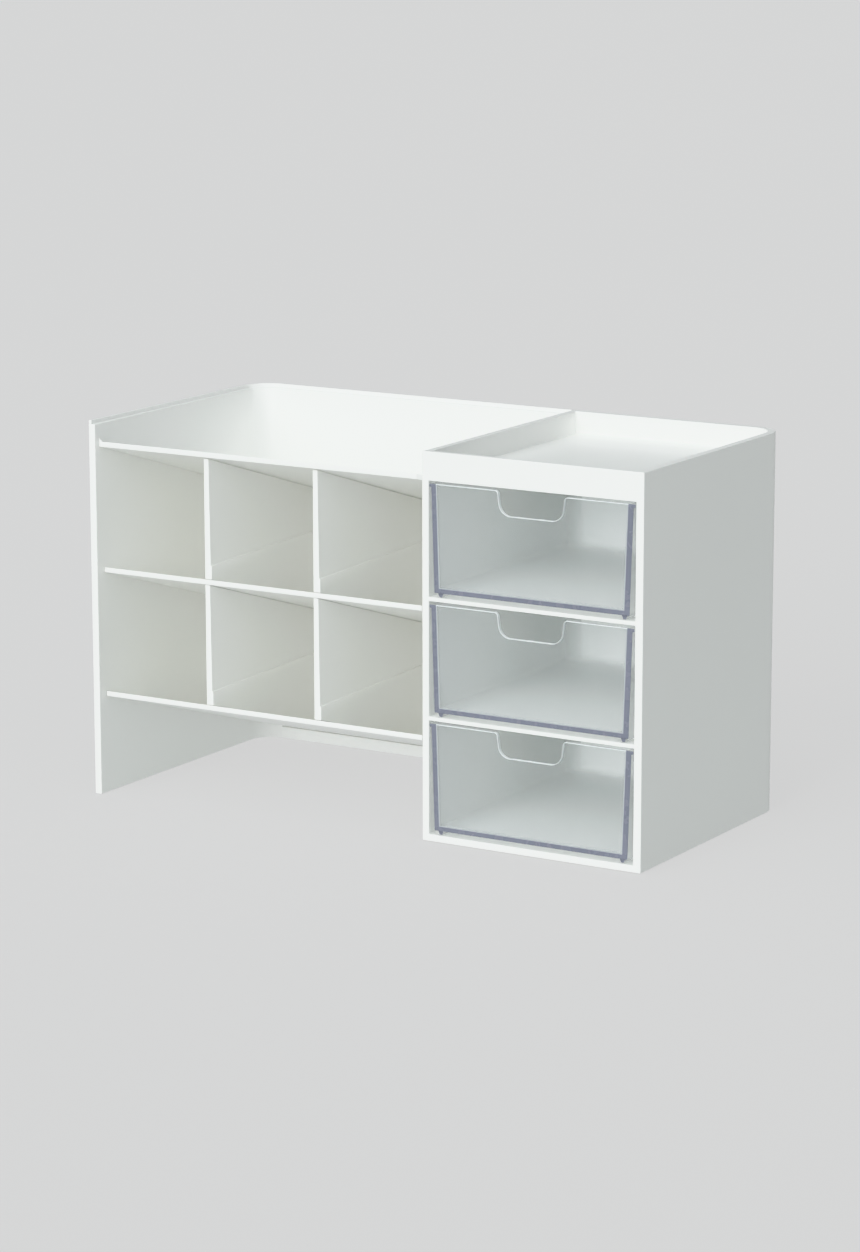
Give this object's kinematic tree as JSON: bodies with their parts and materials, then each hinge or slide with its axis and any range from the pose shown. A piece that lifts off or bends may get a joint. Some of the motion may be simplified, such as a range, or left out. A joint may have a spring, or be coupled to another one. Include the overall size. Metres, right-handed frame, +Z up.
{
  "type": "desk organizer",
  "caption": "White desk organizer: sloping open cubbies and a top pocket beside a small cabinet with three frosted pull-out drawers and a tray on top.",
  "frame": {"origin": "on the desk, under the middle of the whole organizer", "axes": "+X to the right seen from the front, towards the drawer cabinet; -Y out of the fronts, the way the drawers open; +Z up"},
  "size_m": [0.36, 0.1774, 0.222],
  "materials": {
    "white_plastic": "fine satin moulding",
    "drawer_plastic": "lightly frosted, clear with a blue-violet edge",
    "foot_rubber": "plain"
  },
  "bodies": {
    "organizer_body": {"side_back_shell": "white_plastic", "shelf_top": "white_plastic", "shelf_middle": "white_plastic", "shelf_bottom": "white_plastic", "divider_upper_left": "white_plastic", "divider_upper_right": "white_plastic", "divider_lower_left": "white_plastic", "divider_lower_right": "white_plastic", "cabinet_left_wall": "white_plastic", "cabinet_outer_shell": "white_plastic", "cabinet_base": "white_plastic", "drawer_deck_lower": "white_plastic", "drawer_deck_upper": "white_plastic", "top_tray": "white_plastic", "foot_pad_front_left": "foot_rubber", "foot_pad_front_right": "foot_rubber", "foot_pad_rear_left": "foot_rubber", "foot_pad_rear_right": "foot_rubber"},
    "bottom_drawer_body": {"drawer_bottom": "drawer_plastic"},
    "middle_drawer_body": {"drawer_middle": "drawer_plastic"},
    "top_drawer_body": {"drawer_top": "drawer_plastic"}
  },
  "joints": [
    {"name": "bottom_drawer_slide", "type": "slide", "parent": "organizer_body", "child": "bottom_drawer_body", "axis": [0, -1, 0], "range_m": [0, 0.12]},
    {"name": "middle_drawer_slide", "type": "slide", "parent": "organizer_body", "child": "middle_drawer_body", "axis": [0, -1, 0], "range_m": [0, 0.12]},
    {"name": "top_drawer_slide", "type": "slide", "parent": "organizer_body", "child": "top_drawer_body", "axis": [0, -1, 0], "range_m": [0, 0.12]}
  ]
}
